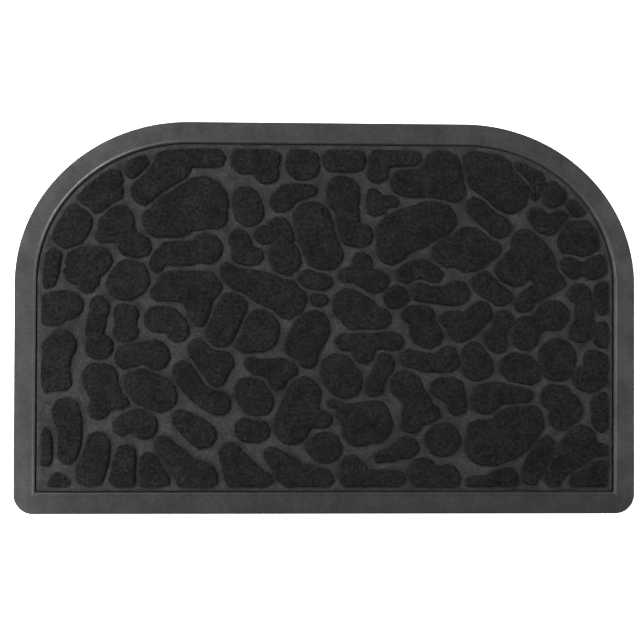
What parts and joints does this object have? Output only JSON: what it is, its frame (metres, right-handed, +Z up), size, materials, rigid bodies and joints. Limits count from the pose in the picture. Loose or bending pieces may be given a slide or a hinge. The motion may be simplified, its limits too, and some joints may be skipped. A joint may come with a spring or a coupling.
{
  "type": "half round doormat",
  "caption": "Half round doormat: bevelled rubber tray with a recessed carpet inlay pressed in a pebble pattern.",
  "frame": {"origin": "centre of the flat underside, on the floor, in the middle of the outline's box", "axes": "+X along the straight side, +Y from the straight side to the rounded side, +Z up"},
  "size_m": [0.7, 0.441, 0.007],
  "materials": {
    "rubber": "matt moulded rubber",
    "carpet": "short dark pile with pressed channels"
  },
  "bodies": {
    "root": {"rubber_tray": "rubber", "carpet_inlay": "carpet"}
  },
  "joints": []
}
